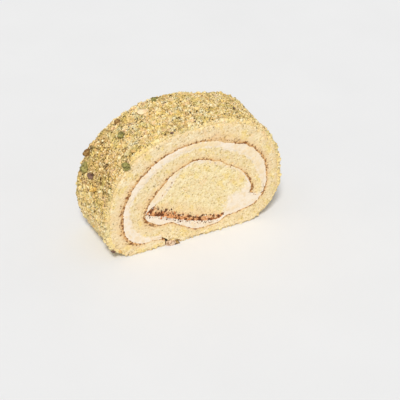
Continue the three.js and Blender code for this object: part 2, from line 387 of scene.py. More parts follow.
def loft_faces(columns, around):
    """Quads between neighbouring columns, each a closed ring, and a cap at either end."""
    faces = []
    for column in range(columns - 1):
        faces += ring_faces(column * around, (column + 1) * around, around)
    faces.append(tuple(reversed(range(around))))
    faces.append(tuple(range((columns - 1) * around, columns * around)))
    return faces


def settle(points):
    """The slice is a little lower at its back, and nothing reaches under its resting surface."""
    points = points.copy()
    back = points[:, 1] / SLICE_LENGTH + 0.5
    points[:, 2] = np.maximum(points[:, 2], 0) * (1 - BACK_DROP / ROLL_HEIGHT * back)
    return points


def make_mesh(name, points, faces, material, attributes):
    """An object whose mesh is given in millimetres, with its faces pointing out."""
    mesh = bpy.data.meshes.new(name)
    mesh.from_pydata((settle(points) * MM).tolist(), [], faces)
    for key, values in attributes.items():
        layer = mesh.attributes.new(key, "FLOAT", "POINT")
        layer.data.foreach_set("value", np.asarray(values, np.float32))
    mesh.materials.append(material)
    clean_up(mesh)
    mesh.shade_smooth()
    mesh.set_sharp_from_angle(angle=SHARP_BEND)
    return shown(name, mesh)


def shown(name, data):
    """A new object in the scene."""
    made = bpy.data.objects.new(name, data)
    bpy.context.scene.collection.objects.link(made)
    return made


def clean_up(mesh):
    """Merge what lies at one place and point the faces outwards."""
    work = bmesh.new()
    work.from_mesh(mesh)
    bmesh.ops.remove_doubles(work, verts=work.verts, dist=SAME_POINT)
    bmesh.ops.dissolve_degenerate(work, edges=work.edges, dist=SHORTEST_EDGE)
    bmesh.ops.recalc_face_normals(work, faces=work.faces)
    work.to_mesh(mesh)
    work.free()


def rest_on_floor(mesh):
    """Flatten what reaches under the floor."""
    places = np.empty(len(mesh.vertices) * 3)
    mesh.vertices.foreach_get("co", places)
    places[2::3] = np.maximum(places[2::3], 0)
    mesh.vertices.foreach_set("co", places)


def finish_piece(piece, node):
    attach(piece, "root")
    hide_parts(node)


# Nodes


class Value:
    """A number on a shader socket. Sums and products of values add their own Math nodes."""

    def __init__(self, shader, socket):
        self.shader = shader
        self.socket = socket

    def maths(self, operation, first, second):
        made = self.shader.node("ShaderNodeMath", {"operation": operation}, first, second)
        return Value(self.shader, made.outputs[0])

    def __add__(self, other):
        return self.maths("ADD", self, other)

    def __sub__(self, other):
        return self.maths("SUBTRACT", self, other)

    def __rsub__(self, other):
        return self.maths("SUBTRACT", other, self)

    def __mul__(self, other):
        return self.maths("MULTIPLY", self, other)

    def step(self, low, high):
        """0 below low and 1 above high, or the other way round, with a smooth change between."""
        settings = {"interpolation_type": "SMOOTHSTEP"}
        made = self.shader.node("ShaderNodeMapRange", settings, self, low, high)
        return Value(self.shader, made.outputs[0])


class Nodes:
    """A node tree whose nodes all come from one method."""

    def __init__(self, tree):
        self.tree = tree

    def feed(self, socket, value):
        value = value.socket if isinstance(value, Value) else value
        if isinstance(value, bpy.types.NodeSocket):
            self.tree.links.new(value, socket)
        else:
            socket.default_value = value

    def node(self, kind, settings, *values, **named):
        """A new node: settings first, then values or links for inputs by place and by name."""
        made = self.tree.nodes.new(kind)
        for key, value in settings.items():
            setattr(made, key, value)
        for socket, value in zip(made.inputs, values):
            self.feed(socket, value)
        for key, value in named.items():
            name = key.replace("_", " ")
            self.feed(next(s for s in made.inputs if s.name == name and s.enabled), value)
        return made


class Shader(Nodes):
    """A new material with one Principled surface. Sizes and depths are in millimetres."""

    def __init__(self, name, roughness, specular):
        self.material = bpy.data.materials.new(name)
        self.material.use_nodes = True
        super().__init__(self.material.node_tree)
        self.surface = self.tree.nodes["Principled BSDF"].inputs
        self.surface["Roughness"].default_value = roughness
        self.surface["Specular IOR Level"].default_value = specular
        self.place = self.node("ShaderNodeTexCoord", {}).outputs["Object"]

    def attribute(self, name):
        made = self.node("ShaderNodeAttribute", {"attribute_name": name})
        return Value(self, made.outputs["Fac"])

    def moved(self, shift):
        made = self.node("ShaderNodeVectorMath", {"operation": "ADD"}, self.place, (shift,) * 3)
        return made.outputs[0]

    def noise(self, size, detail=3.0, roughness=0.55, shift=0.0):
        """Noise between 0 and 1 whose lumps are about a size."""
        made = self.node(
            "ShaderNodeTexNoise", {}, self.moved(shift),
            Scale=1 / (size * MM), Detail=detail, Roughness=roughness,
        )
        return Value(self, made.outputs["Fac"])

    def cells(self, size, shift):
        """Distance to the middle of the nearest cell, 0 to about 1."""
        made = self.node("ShaderNodeTexVoronoi", {}, self.moved(shift), Scale=1 / (size * MM))
        return Value(self, made.outputs["Distance"])

    def mix(self, share, first, second):
        """A colour part of the way from the first to the second."""
        settings = {"data_type": "RGBA"}
        return self.node("ShaderNodeMix", settings, Factor=share, A=first, B=second).outputs[2]

    def layers(self, colour, *layers):
        """A colour with others over it. Each: noise, where it starts and is full, share, colour."""
        for where, low, high, share, seen in layers:
            colour = self.mix(where.step(low, high) * share, colour, colour_of(*seen))
        return colour

    def finish(self, colour, height=None, depth=0.0):
        """Give the surface its colour and, where there is a height, its bump."""
        self.feed(self.surface["Base Color"], colour)
        if height:
            bump = self.node("ShaderNodeBump", {}, Distance=depth * MM, Height=height)
            self.feed(self.surface["Normal"], bump.outputs[0])
        return self.material


def colour_of(red, green, blue):
    """A colour given as seen on a screen, from 0 to 255, turned to linear light."""
    seen = [value / 255 for value in (red, green, blue)]
    linear = [v / 12.92 if v <= 0.04045 else ((v + 0.055) / 1.055) ** 2.4 for v in seen]
    return (*linear, 1.0)


def sponge_material(name, pale, golden, skin, halo, grain, cream):
    """Crumb of sponge, browned along one edge and smeared with cream along others.

    Attributes say how far the browned edge is, in mm, how golden the sponge is, and how near
    cream and crumbs are. Skin is its light and its dark colour, halo the share of the light one
    in the edge, and grain the size of its dark dots.
    """
    shader = Shader(name, 0.92, 0.12)
    broad = shader.noise(6.0, 2)
    middle = shader.noise(2.2, shift=2.0)
    fine = shader.noise(1.0, roughness=0.7, shift=3.0)
    pore = shader.cells(1.7, 1.0)
    tone = broad * 0.4 + middle * 0.45 + fine * 0.2 + shader.attribute("golden") * 0.5 - 0.3
    colour = shader.layers(
        shader.mix(tone.step(0.1, 0.95), pale, golden),
        (shader.noise(5.0, shift=12.0), 0.5, 0.66, 0.8, (244, 216, 138)),
        (shader.noise(3.4, shift=16.0), 0.58, 0.7, 0.5, (228, 208, 124)),
        (shader.noise(4.0, shift=14.0), 0.52, 0.66, 0.6, (240, 208, 162)),
        # Painted shade: the middles of the pore cells are darkened, standing for shade inside the
        # holes.
        (pore, 0.4, 0.1, 0.45, (206, 170, 104)),
        (middle, 0.5, 0.66, 0.55, (254, 238, 200)),
        (middle, 0.46, 0.34, 0.2, (228, 196, 130)),
        (fine, 0.52, 0.64, 0.5, (255, 242, 206)),
        (fine, 0.46, 0.32, 0.65, (214, 180, 112)),
        (shader.noise(1.0, 1, shift=7.0), 0.66, 0.71, 0.7, (158, 132, 66)),
    )
    crumbled = shader.attribute("edge") * shader.noise(1.6, 2, shift=18.0).step(0.6, 0.42)
    colour = shader.mix(crumbled * 0.6, colour, colour_of(226, 194, 138))
    smear = shader.attribute("smear") + shader.noise(2.0, shift=8.0) * 2.6 - 1.3
    colour = shader.mix(smear.step(0.3, 1.0) * 0.85, colour, cream)
    reach = shader.attribute("skin") + (shader.noise(2.0, shift=5.0) * 3.0 - 1.5)
    strong = 1.0 - shader.attribute("faint") * 0.7
    colour = shader.layers(colour, (reach, 5.2, 1.0, 0.6, (240, 204, 152)))
    colour = shader.mix(reach.step(2.0, 0.5) * strong * halo, colour, skin[0])
    dots = shader.noise(grain, roughness=0.6, shift=9.0) - reach.step(0.6, 2.6) * 0.08
    dots = dots.step(0.49, 0.58) * reach.step(2.5, 1.5) * strong * 0.9
    height = middle * 0.5 + fine * 0.5 + pore.step(0.0, 0.4) * 0.4 - dots * 0.5
    return shader.finish(shader.mix(dots, colour, skin[1]), height, 0.6)


def cream_material(cream):
    """Whipped cream with soft streaks, and crumbs of sponge dragged into it."""
    shader = Shader("whipped_cream", 0.45, 0.3)
    streaks = shader.noise(3.0, shift=2.0)
    colour = shader.mix(streaks.step(0.44, 0.66), cream, colour_of(241, 218, 182))
    crumbs = shader.attribute("crumbed") * shader.noise(1.3, shift=4.0).step(0.32, 0.55)
    colour = shader.mix(crumbs * 0.85, colour, colour_of(242, 216, 164))
    colour = shader.layers(
        colour, (shader.noise(0.8, 1, shift=6.0), 0.72, 0.78, 0.7, (196, 160, 112))
    )
    return shader.finish(colour, streaks * 0.5 + shader.noise(0.9, 2) * 0.25, 0.8)


def patches(shader, colour):
    """A colour with the broad patches that run over coat and crumbs alike."""
    return shader.layers(
        colour,
        (shader.noise(5.0, shift=11.0), 0.52, 0.64, 0.5, (248, 214, 112)),
        (shader.noise(6.0, shift=13.0), 0.5, 0.64, 0.45, (200, 184, 100)),
        (shader.noise(3.5, shift=17.0), 0.54, 0.66, 0.7, (248, 208, 160)),
    )


def coat_material(first, second, third, crevice, bare):
    """The crust: each crumb has a tone of its own, and painted shade darkens what lies between crumbs
    and the specks strewn over it.
    """
    shader = Shader("crumb_coat", 0.95, 0.1)
    grain = shader.noise(0.8, roughness=0.65)
    tone = shader.attribute("tint") * 1.6 + grain * 0.7 - 0.65
    colour = shader.mix(tone.step(0.0, 0.5), first, second)
    colour = patches(shader, shader.mix(tone.step(0.45, 1.0), colour, third))
    # Painted shade: specks and the low gaps between the coat's lumps take the crevice shade colour,
    # more of it in broad patches.
    dark = shader.noise(4.5, 2, shift=29.0).step(0.42, 0.58) * 0.6 + 0.4
    speck = shader.noise(0.9, 2, shift=19.0).step(0.58, 0.64) * dark
    colour = shader.mix(speck * 0.95, colour, crevice)
    gaps = shader.attribute("crevice") * shader.noise(1.8, 2, shift=23.0).step(0.3, 0.46) * dark
    colour = shader.mix(gaps, colour, crevice)
    return shader.finish(shader.mix(shader.attribute("pale") * 0.75, colour, bare), grain, 0.5)


def crumb_material(name, first, second, sponge, rare, patched):
    """Crumbs whose colour runs between two, and is a third one on a few of them."""
    shader = Shader(name, 0.92, 0.12)
    tint = shader.attribute("tint")
    mottle = shader.noise(0.9, 2)
    colour = shader.mix((tint * 0.9 + mottle * 0.5 - 0.2).step(0.1, 0.9), first, second)
    colour = patches(shader, colour) if patched else colour
    colour = shader.mix(shader.attribute("pale") * 0.7, colour, sponge)
    colour = shader.mix(tint.step(0.88, 0.89), colour, rare) if rare else colour
    return shader.finish(colour, shader.noise(0.5, 2), 0.3)


def nut_material(name, flesh, paler, skin, cover, depth):
    """Broken nut: flesh with grain, and patches of skin over a share of it."""
    shader = Shader(name, 0.55, 0.35)
    grain = shader.noise(0.8, roughness=0.65)
    bare = 0.6 - cover * 0.3
    patch = shader.noise(1.3, 4, 0.7, 6.0).step(bare, 0.74 - cover * 0.3) * 0.85
    tone = (grain + shader.attribute("tint") * 0.3).step(0.35, 0.8)
    colour = shader.mix(patch, shader.mix(tone, flesh, colour_of(*paler)), colour_of(*skin))
    return shader.finish(colour, grain, depth)


# Scattered crumbs: how many clumps of them there are in a metre, what makes most of them small,
# their least and greatest stretch, and the size in metres and the height in radii of their lumps.
CLUMPS_IN_METRE = 220.0
MOSTLY_SMALL = 2.2
LEAST_STRETCH = (0.6, 0.5, 0.4)
MOST_STRETCH = (1.4, 1.1, 0.9)
LUMPS_ON_CRUMB = 0.0007
LUMPS_STAND_OUT = 1.3


class Tree(Nodes):
    """A new Geometry Nodes tree from a mesh to a mesh, with named inputs."""

    def __init__(self, name, **defaults):
        super().__init__(bpy.data.node_groups.new(name, "GeometryNodeTree"))
        ports = self.tree.interface
        ports.new_socket("Geometry", in_out="OUTPUT", socket_type="NodeSocketGeometry")
        ports.new_socket("Geometry", in_out="INPUT", socket_type="NodeSocketGeometry")
        kinds = {float: "NodeSocketFloat", int: "NodeSocketInt"}
        self.keys = {}
        for key, value in defaults.items():
            port = ports.new_socket(key, in_out="INPUT", socket_type=kinds[type(value)])
            port.default_value = value
            self.keys[key] = port.identifier
        self.inputs = self.tree.nodes.new("NodeGroupInput").outputs

    def maths(self, operation, first, second):
        return self.node("ShaderNodeMath", {"operation": operation}, first, second).outputs[0]

    def vector_maths(self, operation, *values, **named):
        made = self.node("ShaderNodeVectorMath", {"operation": operation}, *values, **named)
        return made.outputs[0]

    def random(self, shift=0.0, **limits):
        """A random number from 0 to 1 for each element, or a vector between limits."""
        kind = "FLOAT_VECTOR" if limits else "FLOAT"
        seed = self.maths("ADD", self.inputs["Seed"], shift)
        made = self.node("FunctionNodeRandomValue", {"data_type": kind}, Seed=seed, **limits)
        return made.outputs[0 if limits else 1]

    def named(self, name):
        """A number that each point carries."""
        made = self.node("GeometryNodeInputNamedAttribute", {"data_type": "FLOAT"}, Name=name)
        return made.outputs[0]

    def stored(self, domain, geometry, name, value):
        """Geometry that carries a number."""
        settings = {"data_type": "FLOAT", "domain": domain}
        return self.node(
            "GeometryNodeStoreNamedAttribute", settings, Geometry=geometry, Name=name, Value=value
        ).outputs[0]

    def moved(self, geometry, way, distance):
        offset = self.vector_maths("SCALE", way, Scale=distance)
        return self.node("GeometryNodeSetPosition", {}, Geometry=geometry, Offset=offset).outputs[0]

    def wobble(self, size, shift):
        """A vector of noise between about -0.5 and 0.5, whose lumps have a size."""
        place = self.node("GeometryNodeInputPosition", {}).outputs[0]
        moved = self.vector_maths("ADD", place, (shift,) * 3)
        made = self.node("ShaderNodeTexNoise", {}, Vector=moved, Scale=1 / size, Detail=1.0)
        return self.vector_maths("SUBTRACT", made.outputs["Color"], (0.5, 0.5, 0.5))


def scatter_tree(material):
    """Uneven lumps on a surface, apart by a spacing, the small ones the commonest."""
    tree = Tree(
        "scatter_" + material.name, Spacing=0.001, Density=1e6, Smallest=0.0003, Largest=0.0008,
        Sink=0.45, Clumping=0.0, Detail=1, Seed=0,
    )
    inputs, maths = tree.inputs, tree.maths
    clumps = tree.node(
        "ShaderNodeTexNoise", {"noise_dimensions": "4D"}, W=inputs["Seed"], Scale=CLUMPS_IN_METRE,
        Detail=1.0,
    ).outputs["Fac"]
    clear = tree.node("ShaderNodeMapRange", {}, Value=clumps, From_Min=0.56, From_Max=0.46)
    share = maths("SUBTRACT", 1.0, maths("MULTIPLY", clear.outputs[0], inputs["Clumping"]))
    spread = tree.node(
        "GeometryNodeDistributePointsOnFaces", {"distribute_method": "POISSON"},
        Mesh=inputs["Geometry"], Distance_Min=inputs["Spacing"], Density_Max=inputs["Density"],
        Density_Factor=maths("MULTIPLY", tree.named("crumbly"), share), Seed=inputs["Seed"],
    )
    mostly_small = maths("POWER", tree.random(), MOSTLY_SMALL)
    span = maths("SUBTRACT", inputs["Largest"], inputs["Smallest"])
    radius = maths("ADD", maths("MULTIPLY", span, mostly_small), inputs["Smallest"])
    drop = maths("MULTIPLY", maths("MULTIPLY", radius, inputs["Sink"]), -1.0)
    sunk = tree.moved(spread.outputs["Points"], spread.outputs["Normal"], drop)
    ball = tree.node("GeometryNodeMeshIcoSphere", {}, Radius=1.0, Subdivisions=inputs["Detail"])
    shape = tree.random(5.0, Min=LEAST_STRETCH, Max=MOST_STRETCH)
    placed = tree.node(
        "GeometryNodeInstanceOnPoints", {}, Points=tree.stored("POINT", sunk, "size", radius),
        Instance=ball.outputs[0], Rotation=tree.random(11.0, Max=(math.tau,) * 3),
        Scale=tree.vector_maths("SCALE", shape, Scale=radius),
    ).outputs[0]
    tinted = tree.stored("INSTANCE", placed, "tint", tree.random(23.0))
    real = tree.node("GeometryNodeRealizeInstances", {}, Geometry=tinted).outputs[0]
    uneven = maths("MULTIPLY", tree.named("size"), LUMPS_STAND_OUT)
    lumpy = tree.moved(real, tree.wobble(LUMPS_ON_CRUMB, 2.0), uneven)
    done = tree.node("GeometryNodeSetMaterial", {}, Geometry=lumpy, Material=material)
    tree.node("NodeGroupOutput", {}, done.outputs[0])
    return tree


def grown_from(name, base, tree, **inputs):
    """A plain mesh object made by a tree on a base object, which isn't changed."""
    carrier = shown(name + "_carrier", base.data.copy())
    modifier = carrier.modifiers.new("grow", "NODES")
    modifier.node_group = tree.tree
    for key, value in inputs.items():
        modifier[tree.keys[key]] = value
    graph = bpy.context.evaluated_depsgraph_get()
    mesh = bpy.data.meshes.new_from_object(carrier.evaluated_get(graph))
    mesh.name = name
    bpy.data.objects.remove(carrier)
    return shown(name, mesh)


# Sizes and colours that a user would change


def length_setting(name, description, default):
    """A length in metres, given in millimetres."""
    return bpy.props.FloatProperty(
        name=name, description=description, default=default * MM, min=0,
        subtype="DISTANCE", unit="LENGTH",
    )


def colour_setting(name, description, *seen):
    return bpy.props.FloatVectorProperty(
        name=name, description=description, default=colour_of(*seen), size=4, min=0, max=1,
        subtype="COLOR",
    )


class CakeSizes(bpy.types.PropertyGroup):
    grid: length_setting("Grid", "Distance between points on the cut faces", 0.42)
    pore_depth: length_setting("Pore depth", "Depth of the holes in the cut sponge", 0.5)
    rim_round: length_setting("Rim rounding", "How far the crumbly rim of a cut face falls back", 0.9)
    cream_recess: length_setting("Cream recess", "How far the cream lies behind the cut sponge", 0.12)
    coat_grid: length_setting("Coat grid", "Distance between points on the crumb coat", 0.38)
    coat_relief: length_setting("Coat relief", "Height of the lumps of the crumb coat", 1.15)
    crumb_spacing: length_setting("Crumb spacing", "Least distance between fine crumbs", 0.95)
    crumb_radius: length_setting("Crumb radius", "Radius of the largest fine crumbs", 0.78)
    lump_radius: length_setting("Lump radius", "Radius of the largest lumps", 1.6)


class CakeColours(bpy.types.PropertyGroup):
    pale_sponge: colour_setting("Pale sponge", "Sponge of the outer turn", 240, 219, 178)
    golden_sponge: colour_setting("Golden sponge", "Sponge of the inner turn", 236, 211, 158)
    core_sponge: colour_setting("Core sponge", "Sponge in the middle", 242, 224, 166)
    skin: colour_setting("Skin", "Browned face of the sheet", 214, 154, 88)
    dark_skin: colour_setting("Dark skin", "Darkest places of the browned face", 138, 82, 40)
    burnt_skin: colour_setting("Burnt skin", "Browned edge of the core", 230, 154, 96)
    darkest_skin: colour_setting("Darkest skin", "Darkest places of that edge", 76, 34, 18)
    cream: colour_setting("Cream", "Whipped cream", 244, 229, 207)
    bare_coat: colour_setting("Bare coat", "Coat where few crumbs stick", 255, 233, 173)
    # Painted shade: the dark colour that stands for the shade between the coat's crumbs.
    crevice: colour_setting("Crevice", "The coat between its crumbs", 66, 46, 14)
    toasted_crumb: colour_setting("Toasted crumb", "The darkest crumbs", 226, 186, 118)
    crumb: colour_setting("Crumb", "Most of the crumbs", 254, 223, 152)
    pale_crumb: colour_setting("Pale crumb", "The lightest crumbs", 255, 243, 200)
    pistachio: colour_setting("Pistachio", "Green nuts", 132, 126, 58)
    raisin: colour_setting("Raisin", "Dark fruit", 142, 108, 88)


# Sponge

# How strongly the inner face of the sheet is browned, and how golden its sponge is, by angle.
BROWNING = (
    (30, 0.4), (45, 0.6), (58, 1.3), (70, 1.5), (90, 1.5), (105, 1.3), (122, 0.9), (131, 1.2),
    (150, 0.9), (168, 0.9), (186, 0.7), (195, 1.2), (203, 2.2), (211, 1.9), (219, 2.3), (228, 1.5),
    (245, 1.1), (262, 1.1), (280, 0.6), (300, 0.5), (330, 0.4), (360, 0.5), (390, 0.6), (412, 0.9),
    (421, 1.6), (432, 1.2), (444, 1.5), (452, 1.7), (461, 1.1), (480, 1.0), (492, 0.9), (500, 0.8),
    (516, 0.9), (532, 0.7), (548, 0.7), (564, 1.0), (588, 0.9), (600, 0.7), (612, 0.7), (621, 0.9),
    (636, 1.1), (648, 1.2),
)
GOLDEN = (
    (30, -0.2), (60, -0.5), (90, 0.1), (130, -0.2), (180, -0.1), (210, 0.1), (240, 0.3), (270, 0.3),
    (300, 0.8), (340, 0.8), (380, 0.5), (420, 0.5), (450, 0.6), (480, 0.4), (520, 0.75),
    (560, 0.9), (600, 0.8), (650, 0.9),
)
# Browned edge of the core, which is the start of the sheet, along its lower left side.
CORE_BROWNING = (
    (-180, 0.05), (-44, 0.05), (-35, 1.9), (-20, 2.4), (0, 2.5), (30, 2.5), (55, 2.8), (68, 3.0),
    (76, 1.8), (82, 0.4), (90, 0.1), (180, 0.05),
)
# Share of cream smeared over the core's edge.
CORE_SMEAR = (
    (-180, 0.8), (-165, 0.7), (-150, 0.2), (-100, 0.1), (-85, 0.7), (-60, 1.0), (-44, 0.8),
    (-34, 0), (82, 0), (92, 0.9), (150, 1.0), (180, 0.8),
)
FACE_ROWS = 23
BACK_ROWS = 19
WALL_ROWS = 9
CORE_RINGS = 44
CORE_POINTS = 420
# Sizes in millimetres: pores of the cut sponge, rims of its cut faces, how far from an edge the
# sheet's sides are rough, how far the core is tucked into the sheet, and the depth of its browned
# edge. Then the angle from which cream lies on the sheet.
LARGE_PORE = 3.1
SMALL_PORE = 1.25
WORN_RIM = 1.8
SOFT_RIM = 2.6
CRUMBLY_RIM = (0.6, 5.4)
ROUGH_REACH = 2.0
CORE_TUCK = 0.2
CORE_EDGE_DIP = 0.25
CREAMED_FROM = 400.0

browning_at = station_curve(BROWNING)
golden_at = station_curve(GOLDEN)


def face_dips(points, pore_depth, seed):
    """How far a cut sponge face falls back at its points: soft waves, holes and torn places."""
    soft = waves(points, (0.14, 4.5, seed), (0.1, 1.3, seed + 1))
    warp = np.column_stack([relief(points, (0.9, 1.3, seed + n)) for n in (5, 6, 7)])
    large = fade(cell_distance(points + warp, LARGE_PORE, seed + 2), 0.1, 0.28)
    small = fade(cell_distance(points + warp, SMALL_PORE, seed + 3), 0.15, 0.42)
    open_places = smooth_step(smooth_noise(points, 7.0, seed + 4), -0.25, 0.35)
    return soft + pore_depth * (0.7 * large + 0.6 * small * open_places)


def sheet_columns(grid):
    """Angle, outer and inner radius and lean of each column, with the rounded inner end."""
    angle = even_angles(OUTER_END, INNER_END, grid, outer_radius)
    outer = outer_radius(angle) - COAT_DEPTH * coat_at(angle)
    inner = browned_radius(angle)
    lean = CUT_SLANT * fade(angle, OUTER_END, OUTER_END + SLANT_FADE)
    bulge = np.linspace(*BULGE_SHARES, BULGE_COLUMNS)
    ends = outer_radius(INNER_END), browned_radius(INNER_END)
    middle = (ends[0] + ends[1]) / 2
    reach = (ends[0] - ends[1]) * (0.5 - np.arcsin(bulge) / math.pi)
    angle = np.append(angle, INNER_END + INNER_END_BULGE * bulge)
    outer = np.append(outer, middle + reach)
    inner = np.append(inner, middle - reach)
    return angle, outer, inner, np.append(lean, 0 * bulge)


def make_sheet(sizes, material):
    """The rolled sheet: its cut faces have dips and holes, its rims are worn or crumbly."""
    angle, outer, inner, lean = sheet_columns(sizes.grid / MM)
    deep, length = section_loop(FACE_ROWS, BACK_ROWS, WALL_ROWS)
    thickness = (outer - inner)[:, None]
    points = strip_points(
        angle[:, None] + lean[:, None] * deep, outer[:, None] - thickness * deep,
        (length - 0.5) * SLICE_LENGTH,
    )
    side = cut_side(length, len(angle))
    on_face = side != 0
    turned = np.repeat(angle, len(deep))
    from_outer, from_inner = (deep * thickness).ravel(), ((1 - deep) * thickness).ravel()

    coat = coat_at(turned)
    crumbly_rim = coat * (turned < 360)
    rim = sizes.rim_round / MM * crumbly_rim * fade(from_outer, 0, SOFT_RIM)
    creamed = (turned > CREAMED_FROM) & (from_outer < from_inner)
    rim += 0.15 * fade(np.minimum(from_outer, from_inner), 0, 0.5) * (1 - creamed)
    worn = (1 - coat) * (turned < 360 + OUTER_END) * fade(from_outer, 0, WORN_RIM)
    rim += worn * (0.1 + 3.0 * np.abs(smooth_noise(points, 3.0, 12)))
    rim[on_face] += face_dips(points[on_face], sizes.pore_depth / MM, 3)
    points[:, 1] -= side * rim

    near_side = np.where(np.tile(deep < 0.5, len(angle)), from_outer, from_inner)
    rough = relief(points, (0.5, 2.8, 8), (0.3, 1.1, 9))
    push_out(points, rough * fade(near_side, 0, ROUGH_REACH))
    skin = from_inner / np.maximum(browning_at(turned), 0.1)
    rim_crumbs = crumbly_rim * fade(from_outer, *CRUMBLY_RIM) ** 1.7
    attributes = {
        "skin": skin,
        "golden": golden_at(turned),
        "smear": (turned > CREAMED_FROM) * fade(from_outer, 0.0, SOFT_RIM),
        "crumbly": on_face * np.maximum(rim_crumbs, np.minimum(1.6 * worn, 1)),
        "edge": crumbly_rim * fade(from_outer, 1.0, 5.0),
        "pale": (0.1 + 0.5 * smooth_step(from_outer, 0.6, 2.8)) * (from_outer < from_inner),
        "faint": smooth_step(browning_at(turned), 1.4, 2.2),
        "browned": on_face * fade(skin, 0.6, 1.5),
    }
    faces = loft_faces(len(angle), len(deep))
    return make_mesh("sheet_of_sponge", points, faces, material, attributes)


def make_core(sizes, material):
    """The core: a face of rings about the eye of the roll at each end, and the side between."""
    angle, edge = core_edge(CORE_POINTS)
    edge = np.minimum(edge, hollow_radius(angle) + CORE_TUCK)
    border = point_at(angle, edge)
    browning = station_curve(CORE_BROWNING)
    browned_edge = np.minimum(browning((angle + 180) % 360 - 180), 1)
    points, faces = [], []
    for side in (-1, 1):
        for share in np.linspace(0, 1, CORE_RINGS) ** 0.9:
            x, z = (np.array(EYE) + (border - EYE) * share).T
            ring = np.column_stack([x, np.full(CORE_POINTS, side * SLICE_LENGTH / 2), z])
            dip = CORE_EDGE_DIP * smooth_step(share, 0.96, 1) * browned_edge
            ring[:, 1] -= side * (dip + face_dips(ring, sizes.pore_depth / MM, 21))
            points.append(ring)
    points = np.concatenate(points)
    starts = np.arange(2 * CORE_RINGS).reshape(2, CORE_RINGS) * CORE_POINTS
    for front in starts.tolist():
        for this, after in zip(front, front[1:]):
            faces += ring_faces(this, after, CORE_POINTS)
    faces += ring_faces(int(starts[0, -1]), int(starts[1, -1]), CORE_POINTS)

    section = points[:, [0, 2]]
    parts = np.array_split(section, CORE_RINGS)
    near = np.concatenate([np.sqrt(((p[:, None] - border) ** 2).sum(2).min(1)) for p in parts])
    away = section - EYE
    turned = np.degrees(np.arctan2(-away[:, 0], -away[:, 1]))
    strength = browning(turned)
    plain = fade(strength, 0.1, 0.6)
    smeared = 2.8 + 2.4 * smooth_step(turned, -90, -75) * fade(turned, -50, -36)
    none = np.zeros(len(points))
    attributes = {
        "skin": near / np.maximum(strength, 0.05) + 3 * plain,
        "golden": none + 0.6,
        "smear": station_curve(CORE_SMEAR)(turned) * fade(near, 0.0, smeared),
        "browned": (1 - plain) * fade(near / np.maximum(strength, 0.05), 1.0, 2.0),
        "pale": none,
        "faint": none,
    }
    return make_mesh("core_of_sponge", points, faces, material, attributes)


# Cream

CREAM_ROWS = 15
CREAM_WALLS = 3
CREAM_GRID = 0.5
CREAM_TAPER_AT_START = 6.0
CREAM_TAPER_AT_END = 5.0
EDGE_POINTS = 720
KNIFE_DRAG = np.array([0.35, 1, 1])
# Share of crumbs dragged into the cream, and of burnt crumbs fallen on it, by angle. Beside the core's
# browned edge the burnt crumbs also stand partly for painted shade on the cream.
OUTER_CREAM_CRUMBED = (
    (30, 0), (165, 0), (176, 0.9), (200, 1), (208, 0.3), (222, 0), (236, 0.2), (248, 0.6),
    (262, 0.4), (290, 0),
)
INNER_CREAM_CRUMBED = (
    (180, 0.2), (196, 0.4), (208, 0.9), (262, 0.9), (280, 0), (400, 0), (440, 0.1), (455, 0.7),
    (485, 0.5), (505, 0.9), (525, 1),
)
INNER_CREAM_BURNT_AND_SHADE = (
    (180, 0), (196, 0), (204, 0.25), (255, 0.3), (266, 0), (325, 0), (335, 1), (380, 0.8),
    (420, 1), (440, 0.6), (470, 0.35), (505, 0.2), (520, 0),
)


def cream_dips(points, seed):
    """Soft drag marks where the knife has passed."""
    return waves(points * KNIFE_DRAG, (0.12, 2.6, seed)) + waves(points, (0.05, 0.9, seed))


def make_cream(name, angle, inner, outer, lap, sizes, material, crumbed, burnt):
    """A strip of cream between two radii. It laps over the sponge at its inner one, raggedly."""
    deep, length = section_loop(CREAM_ROWS, CREAM_ROWS, CREAM_WALLS)
    thickness = (outer - inner)[:, None]
    points = strip_points(
        angle[:, None] + 0 * deep, outer[:, None] - thickness * deep, (length - 0.5) * SLICE_LENGTH
    )
    side = cut_side(length, len(angle))
    deep_all = np.tile(deep, len(angle))
    from_core = ((1 - deep) * thickness).ravel()
    from_end = from_core / np.repeat(lap, len(deep))
    edge = 1 - np.abs(2 * deep_all - 1)
    outer_edge = 0.12 * fade(edge, 0, 0.35) * (deep_all < 0.5)
    lapping = np.repeat(smooth_step(lap, CREAM_OVERLAP, CREAM_LAP), len(deep))
    flush = lapping * fade(from_end, 1, 3)
    dips = sizes.cream_recess / MM * (1 - flush) + outer_edge + cream_dips(points, 31)
    ragged = from_end + relief(points, (0.6, 1.7, 33), (0.3, 0.7, 35))
    dips += 0.55 * fade(ragged, 0, 1.1) * (from_end < 2)
    points[:, 1] -= side * dips
    turned = np.repeat(angle, len(deep))
    # Painted shade in part: burnt crumbs grow denser on the cream beside the core's browned edge,
    # darkening that strip.
    near_core = (side != 0) * smooth_step(deep_all, 0, 0.3) * fade(from_core, 0.6, 3.2)
    attributes = {
        "crumbed": station_curve(crumbed)(turned),
        "browned": near_core * station_curve(burnt)(turned),
        "pale": np.zeros(len(points)),
    }
    return make_mesh(name, points, loft_faces(len(angle), len(deep)), material, attributes)


def outer_cream(sizes, material):
    """Cream between the first and the second turn."""
    angle = even_angles(OUTER_CREAM_START, OUTER_CREAM_END, CREAM_GRID, inner_radius)
    ends = smooth_step(angle, OUTER_CREAM_START, OUTER_CREAM_START + CREAM_TAPER_AT_START)
    ends *= fade(angle, OUTER_CREAM_END - CREAM_TAPER_AT_END, OUTER_CREAM_END)
    outer = browned_radius(angle) + CREAM_OVERLAP * ends
    lap = CREAM_OVERLAP + (CREAM_LAP - CREAM_OVERLAP) * ends
    inner = outer_radius(angle + 360) - lap * ends
    none = ((OUTER_CREAM_START, 0), (OUTER_CREAM_END, 0))
    strip = angle, inner, outer, lap
    return make_cream("cream_between_turns", *strip, sizes, material, OUTER_CREAM_CRUMBED, none)


